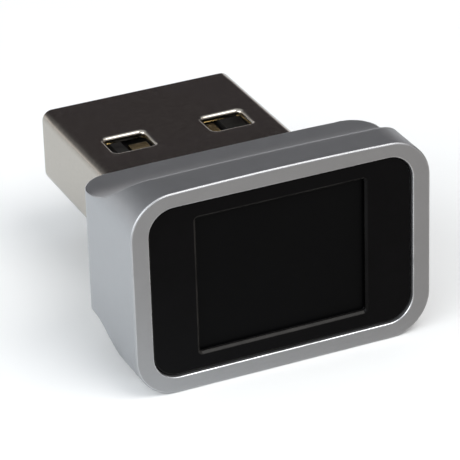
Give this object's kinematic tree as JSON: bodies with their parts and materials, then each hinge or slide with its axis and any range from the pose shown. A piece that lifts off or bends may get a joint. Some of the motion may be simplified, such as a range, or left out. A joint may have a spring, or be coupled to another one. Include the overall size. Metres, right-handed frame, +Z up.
{
  "type": "usb fingerprint reader",
  "caption": "Small rounded metal USB-A dongle with finger coves above and below and a recessed black fingerprint touch sensor on its front face.",
  "frame": {"origin": "centre of the bounding box at the flat underside of the housing", "axes": "+X across the plug's width, +Y out of the plug's mating end, +Z up; the touch sensor faces -Y and the plug's contacts face +Z"},
  "size_m": [0.0176, 0.0202, 0.0121],
  "materials": {
    "satin_chrome": "satin",
    "plug_nickel": "gloss",
    "bezel_black": "gloss",
    "sensor_coat": "satin",
    "black_foam": "matte",
    "moulded_black": "satin",
    "package_epoxy": "matte",
    "silicon": "gloss",
    "laminate": "satin",
    "solder_mask": "satin",
    "crystal_can": "satin",
    "capacitor_ceramic": "satin",
    "resistor_ceramic": "satin",
    "spring_copper": "satin",
    "contact_gold": "satin"
  },
  "bodies": {
    "root": {"housing_shell": "satin_chrome", "front_bezel": "bezel_black", "bezel_adhesive": "black_foam", "sensor_gasket": "black_foam", "sensor_cover": "sensor_coat", "sensor_package": "package_epoxy", "sensor_die": "silicon", "sensor_substrate": "laminate", "sensor_board": "solder_mask", "usb_controller": "package_epoxy", "flash_memory": "package_epoxy", "crystal": "crystal_can", "voltage_regulator": "package_epoxy", "esd_suppressor": "package_epoxy", "plug_carrier": "moulded_black", "grounding_spring": "spring_copper", "plug_shell": "plug_nickel", "plug_insulator": "moulded_black", "contact_vbus": "contact_gold", "contact_data_minus": "contact_gold", "contact_data_plus": "contact_gold", "contact_ground": "contact_gold", "capacitor_1": "capacitor_ceramic", "capacitor_2": "capacitor_ceramic", "capacitor_3": "capacitor_ceramic", "capacitor_4": "capacitor_ceramic", "capacitor_5": "capacitor_ceramic", "capacitor_6": "capacitor_ceramic", "resistor_1": "resistor_ceramic", "resistor_2": "resistor_ceramic", "resistor_3": "resistor_ceramic", "resistor_4": "resistor_ceramic"}
  },
  "joints": []
}
